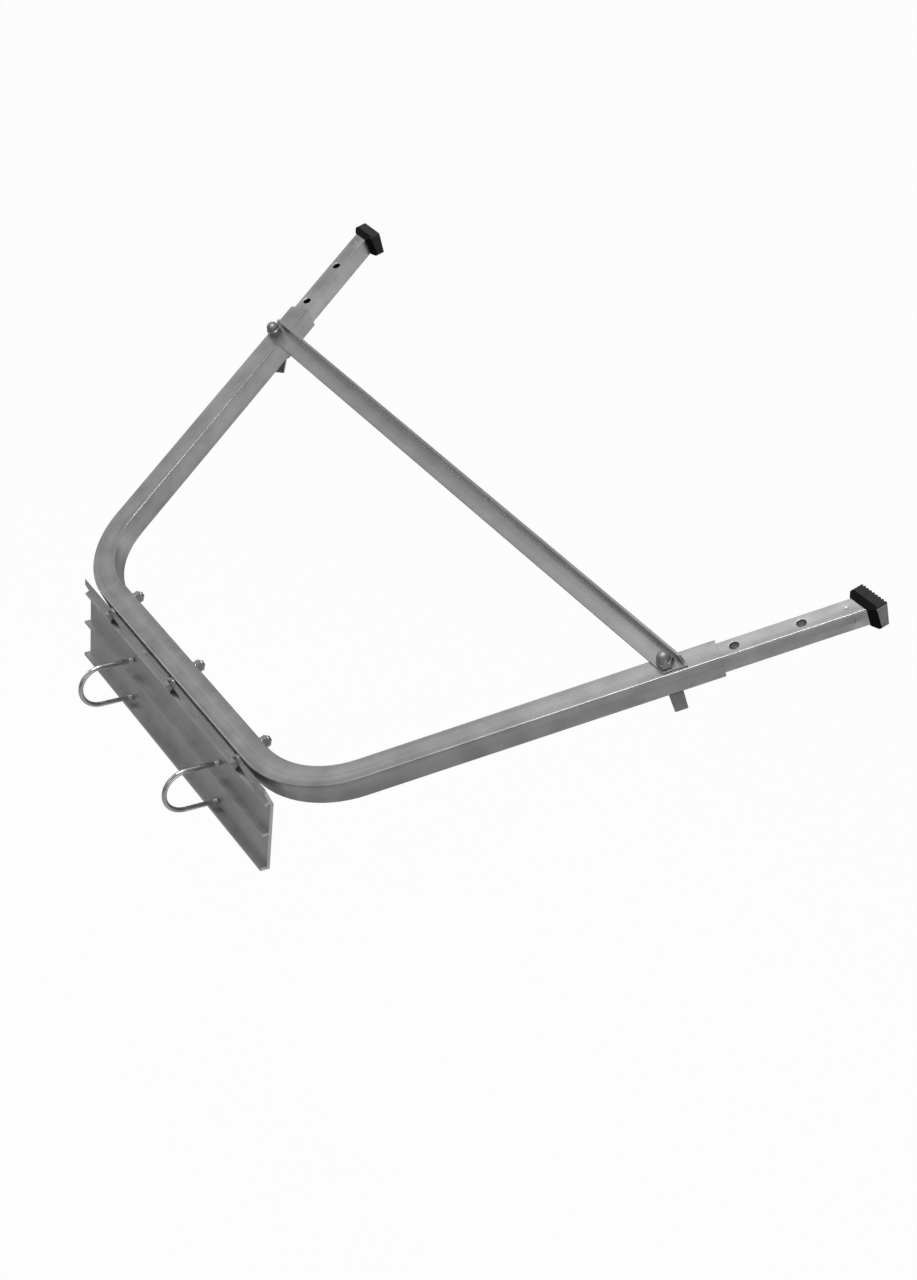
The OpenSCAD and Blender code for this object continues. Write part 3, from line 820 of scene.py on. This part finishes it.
def makeLockNuts(look):
    low = tube["half"] + look["washer"]
    top = low + look["nutHeight"]
    rim = top + look["collarHeight"]
    across, bore, collar = look["across"], look["thread"] / 2 + 0.05 * mm, look["collar"] / 2
    flat = across / 2 - cornerCut
    rounded = [  # the collar is rolled over the nylon ring
        (flat, top), (collar + 0.3 * mm, top), (collar, top + 0.3 * mm), (collar, rim - 0.5 * mm),
        (collar - 0.2 * mm, rim - 0.15 * mm), (collar - 0.6 * mm, rim), (collar - 0.9 * mm, rim - 0.1 * mm),
        (collar - 0.9 * mm, top - 0.4 * mm), (bore, top - 0.4 * mm), (bore, low + 0.4 * mm),
    ]
    steel = roundRules((bore + 0.4 * mm, low), (flat, low))
    steel += [hexRule(across, low, 1), hexRule(across, top, -1), *roundRules(*rounded)]
    insert = roundRules(
        (bore - 0.03 * mm, top - 0.35 * mm), (collar - 0.93 * mm, top - 0.35 * mm),
        (collar - 0.93 * mm, rim - 0.35 * mm), (bore + 0.15 * mm, rim - 0.3 * mm),
        (bore - 0.03 * mm, rim - 0.45 * mm),
    )
    shape = bmesh.new()
    for place in frameBoltFrames:
        addPart(shape, turned(steel), place)
        addPart(shape, turned(insert), place, material=1)
    finishPiece("frame_lock_nuts_turned", shape, [plating["dullZinc"], nylon], "frame_lock_nuts")


makeFrameBolts(frameBolt)
makeLockNuts(frameBolt)
print("frame bolts made")

# dome nuts over the lock screws
domeNut = {
    "across": 17 * mm,
    "hexHeight": 8 * mm,
    "domeHeight": 10 * mm,
    "radius": 8 * mm,
    "bore": 5.05 * mm,  # radius
    "depth": 12 * mm,
}


def domeRules(look):
    across, bore, radius, middle = look["across"], look["bore"], look["radius"], look["hexHeight"]
    flat = across / 2 - cornerCut
    centre = middle + look["domeHeight"] - radius
    rules = [
        *roundRules((bore, look["depth"]), (bore, 0.5 * mm), (bore + 0.5 * mm, 0.0), (flat, 0.0)),
        hexRule(across, 0.0, 1), hexRule(across, middle, -1),
        *roundRules((flat, middle), (radius, middle + 0.25 * mm)),
    ]
    for degrees in (0, 10, 20, 30, 40, 50, 60, 70, 80, 87):
        turn = math.radians(degrees)
        rules.append(roundRule(radius * math.cos(turn), centre + radius * math.sin(turn)))
    return rules


shape = bmesh.new()
for side in sides:
    place = lockFrames[side] @ Matrix.Translation((0, 0, tube["braceTop"]))
    addPart(shape, turned(domeRules(domeNut), closed=False), place)
finishPiece("lock_dome_nuts_turned", shape, [plating["domeSteel"]], "lock_dome_nuts")

# winged lock screws: a pressed wing plate on a turned hub with a threaded shank
lockScrew = {
    "thread": 10 * mm,
    "pitch": 1.5 * mm,
    "tip": 29 * mm,  # above the tube's centre line
    "chamfer": 0.8 * mm,
    "hub": 15 * mm,
    "hubHeight": 7 * mm,
    "wingThick": 2.5 * mm,
    "wingRoot": 17 * mm,  # width of the wing plate at the hub
    "wingTip": 15.2 * mm,
    "wingSpan": 52 * mm,
    "bendFrom": 7.55 * mm,
    "bendRadius": 3 * mm,
    "drop": 38,
    "corner": 1.2 * mm,
    "turn": {"left": 85, "right": 0},  # degrees from square across the arm
}


def barRule(width, thick, corner):
    # a bar's section with round corners, four corners to each of the sixteen places
    def rule(angle):
        number = round(angle % math.tau / math.tau * 16) % 16
        quarter, step = divmod(number, 4)
        turn = math.radians(90 * quarter + 30 * step)
        right = 1 if quarter in (0, 3) else -1
        up = 1 if quarter < 2 else -1
        across = right * (width / 2 - corner) + corner * math.cos(turn)
        return across, up * (thick / 2 - corner) + corner * math.sin(turn), 0.0
    return rule


def wingRings(look):
    thick, corner = look["wingThick"], 0.5 * mm
    drop = math.radians(look["drop"])
    reach = look["wingSpan"] / 2 - thick / 2 * math.sin(drop)
    bendEnd = look["bendFrom"] + look["bendRadius"] * math.sin(drop)
    bendFall = look["bendRadius"] * (1 - math.cos(drop))
    slope = (reach - bendEnd) / math.cos(drop)
    half = [(0.0, 0.0, 0.0, 1.0, 0.0), (look["bendFrom"], 0.0, 0.0, 1.0, 0.0)]
    for step in (1, 2, 3, 4):
        turn = drop * step / 4
        out = look["bendFrom"] + look["bendRadius"] * math.sin(turn)
        half.append((out, -look["bendRadius"] * (1 - math.cos(turn)), turn, 1.0, 0.0))
    runs = [0.35, 0.7] + [1 - look["corner"] / slope * left for left in (1.0, 0.7, 0.45, 0.25, 0.1, 0.02)]
    for run in runs:
        left = (1 - run) * slope
        cut = max(0.0, look["corner"] - left)
        narrow = look["corner"] - math.sqrt(look["corner"] ** 2 - cut ** 2)
        out = bendEnd + run * slope * math.cos(drop)
        half.append((out, -bendFall - run * slope * math.sin(drop), drop, run, narrow))
    rings = []
    for sign, stations in ((-1, reversed(half[1:])), (1, half)):
        for out, fall, turn, run, narrow in stations:
            share = min(1.0, max(0.0, (out - look["bendFrom"]) / (reach - look["bendFrom"])))
            width = look["wingRoot"] + (look["wingTip"] - look["wingRoot"]) * share - 2 * narrow
            ahead = (0, math.cos(turn), -sign * math.sin(turn))
            place = axisFrame((0, sign * out, fall - thick / 2), ahead)
            rings.append((place, barRule(width, thick, corner)))
    return rings


def makeLockScrew(side, look):
    seat = -tube["half"] - tube["lockWasher"]
    radius, hub, low = look["thread"] / 2, look["hub"] / 2, seat - look["hubHeight"]
    rules = roundRules(
        (2.0 * mm, low + 0.7 * mm), (3.0 * mm, low), (hub - 1.6 * mm, low),
        (hub - 0.5 * mm, low + 0.5 * mm), (hub, low + 1.6 * mm), (hub, seat - 0.4 * mm),
        (hub - 0.4 * mm, seat), (radius, seat), (radius, seat + 6 * mm),
    )
    rules += threadRings(radius, look["pitch"], seat + 7 * mm, look["tip"], look["chamfer"])
    shape = bmesh.new()
    addPart(shape, turned(rules, closed=False), lockFrames[side])
    turn = math.radians(look["turn"][side])
    inward = planeNormal.cross(armAxis[side]) * sides[side]
    wingAlong = inward * math.cos(turn) - armAxis[side] * math.sin(turn)
    place = axisFrame(lockPoint[side] + planeNormal * seat, planeNormal, wingAlong.cross(planeNormal))
    wing = grown(wingRings(look), 16)
    wing.normal_update()
    # the wing plate's long edges get the lighter steel, a painted highlight
    for face in wing.faces:
        face.material_index = 1 if abs(face.normal.x) > 0.5 else 0
    addPart(shape, wing, place)
    node = "lock_screw_" + side
    finishes = [plating["wingSteel"], plating["wingEdgeHighlight"]]
    finishPiece(node + "_winged", shape, finishes, node)


for side in sides:
    makeLockScrew(side, lockScrew)
print("lock screws made")

# the nodes that stay as they are packed
frame["nodes"]["u_frame_tube"].data.materials[0] = aluminium["tubeAluminium"]


# floor, background and lamps
room = {
    "floorDrop": 0.75,
    "floorRadius": 60.0,
    "floorTint": (0.72, 0.72, 0.72),
    "floorWhite": 0.97,  # how white the floor is to the eye, the rest shows the shadow
    "worldGlow": 0.14,
    "skyMirrored": 0.26,  # how much of the white surroundings shows in metal
    "floorMirrored": 0.05,
}
lamps = {
    "overhead": {"place": (-1.4, 0.6, 2.4), "size": (1.0, 1.0), "power": 2.4},
    "zenith": {"place": (0.0, 0.3, 3.2), "size": (2.0, 2.0), "power": 8.0},
    "wallLow": {"place": (0.4, 3.6, -0.2), "size": (3.0, 3.0), "power": 20.0},
    "front": {"place": (1.7, -2.3, 1.2), "size": (0.8, 0.8), "power": 3.8},
    "frontLeft": {"place": (-2.12, -1.35, 1.25), "size": (1.0, 1.0), "power": 6.0},
    "left": {"place": (-2.8, 0.4, 1.0), "size": (1.4, 1.4), "power": 5.0},
    "lowRight": {"place": (2.0, 0.3, -0.45), "size": (0.8, 0.8), "power": 3.1},
    # a strip whose long side lies along the right arm, so that the arm's edges catch one bright line
    "edges": {"place": (0.14, -0.26, 2.7), "size": (0.5, 1.5), "power": 46, "along": (0.4, 0.92, 0.0)},
}


def seenDirectly(tree, white, mirrored):
    # how white the surroundings are for rays that show them: straight, mirrored, or through glass
    path = tree.nodes.new("ShaderNodeLightPath").outputs
    straight = calc(tree, "MAXIMUM", path["Is Camera Ray"], path["Is Transmission Ray"])
    glossy = calc(tree, "MULTIPLY", path["Is Glossy Ray"], mirrored)
    return calc(tree, "MAXIMUM", calc(tree, "MULTIPLY", straight, white), glossy)


def makeRoom(look):
    world = bpy.data.worlds.new("world")
    bpy.context.scene.world = world
    world.use_nodes = True
    tree = world.node_tree
    tree.nodes.clear()
    glow = spanTo(tree, seenDirectly(tree, 1.0, look["skyMirrored"]), 0.0, 1.0, look["worldGlow"], 1.0)
    sky = put(tree, "ShaderNodeBackground", {"Color": (1, 1, 1, 1), "Strength": glow})
    tree.links.new(sky.outputs[0], tree.nodes.new("ShaderNodeOutputWorld").inputs["Surface"])

    mesh = bpy.data.meshes.new("floor")
    shape = bmesh.new()
    bmesh.ops.create_circle(shape, cap_ends=True, segments=96, radius=look["floorRadius"])
    bmesh.ops.translate(shape, vec=(0, 0, cadBounds[0][2] - look["floorDrop"]), verts=shape.verts)
    shape.to_mesh(mesh)
    shape.free()
    floor = bpy.data.objects.new("floor", mesh)
    bpy.context.scene.collection.objects.link(floor)
    material = bpy.data.materials.new("floorPaint")
    material.use_nodes = True
    tree = material.node_tree
    tree.nodes.clear()
    matt = put(tree, "ShaderNodeBsdfDiffuse", {"Color": (*look["floorTint"], 1)})
    white = put(tree, "ShaderNodeEmission", {"Color": (1, 1, 1, 1), "Strength": 1.0})
    share = seenDirectly(tree, look["floorWhite"], look["floorMirrored"])
    blend = put(tree, "ShaderNodeMixShader", {0: share, 1: matt.outputs[0], 2: white.outputs[0]})
    tree.links.new(blend.outputs[0], tree.nodes.new("ShaderNodeOutputMaterial").inputs["Surface"])
    mesh.materials.append(material)


lampAim = (0, 0.3, 0.1)  # the frame's middle


def makeLamps(looks):
    for name, look in looks.items():
        data = bpy.data.lights.new(name, "AREA")
        data.shape = "RECTANGLE"
        data.size, data.size_y = look["size"]
        data.energy = look["power"]
        lamp = bpy.data.objects.new(name, data)
        back = Vector(look["place"]) - Vector(lampAim)
        along = Vector(look.get("along", (0, 0, 1)))
        lamp.matrix_world = axisFrame(look["place"], back, along.cross(back))
        bpy.context.scene.collection.objects.link(lamp)


makeRoom(room)
makeLamps(lamps)
bpy.context.scene.view_settings.view_transform = "Standard"
print("room and lamps set")
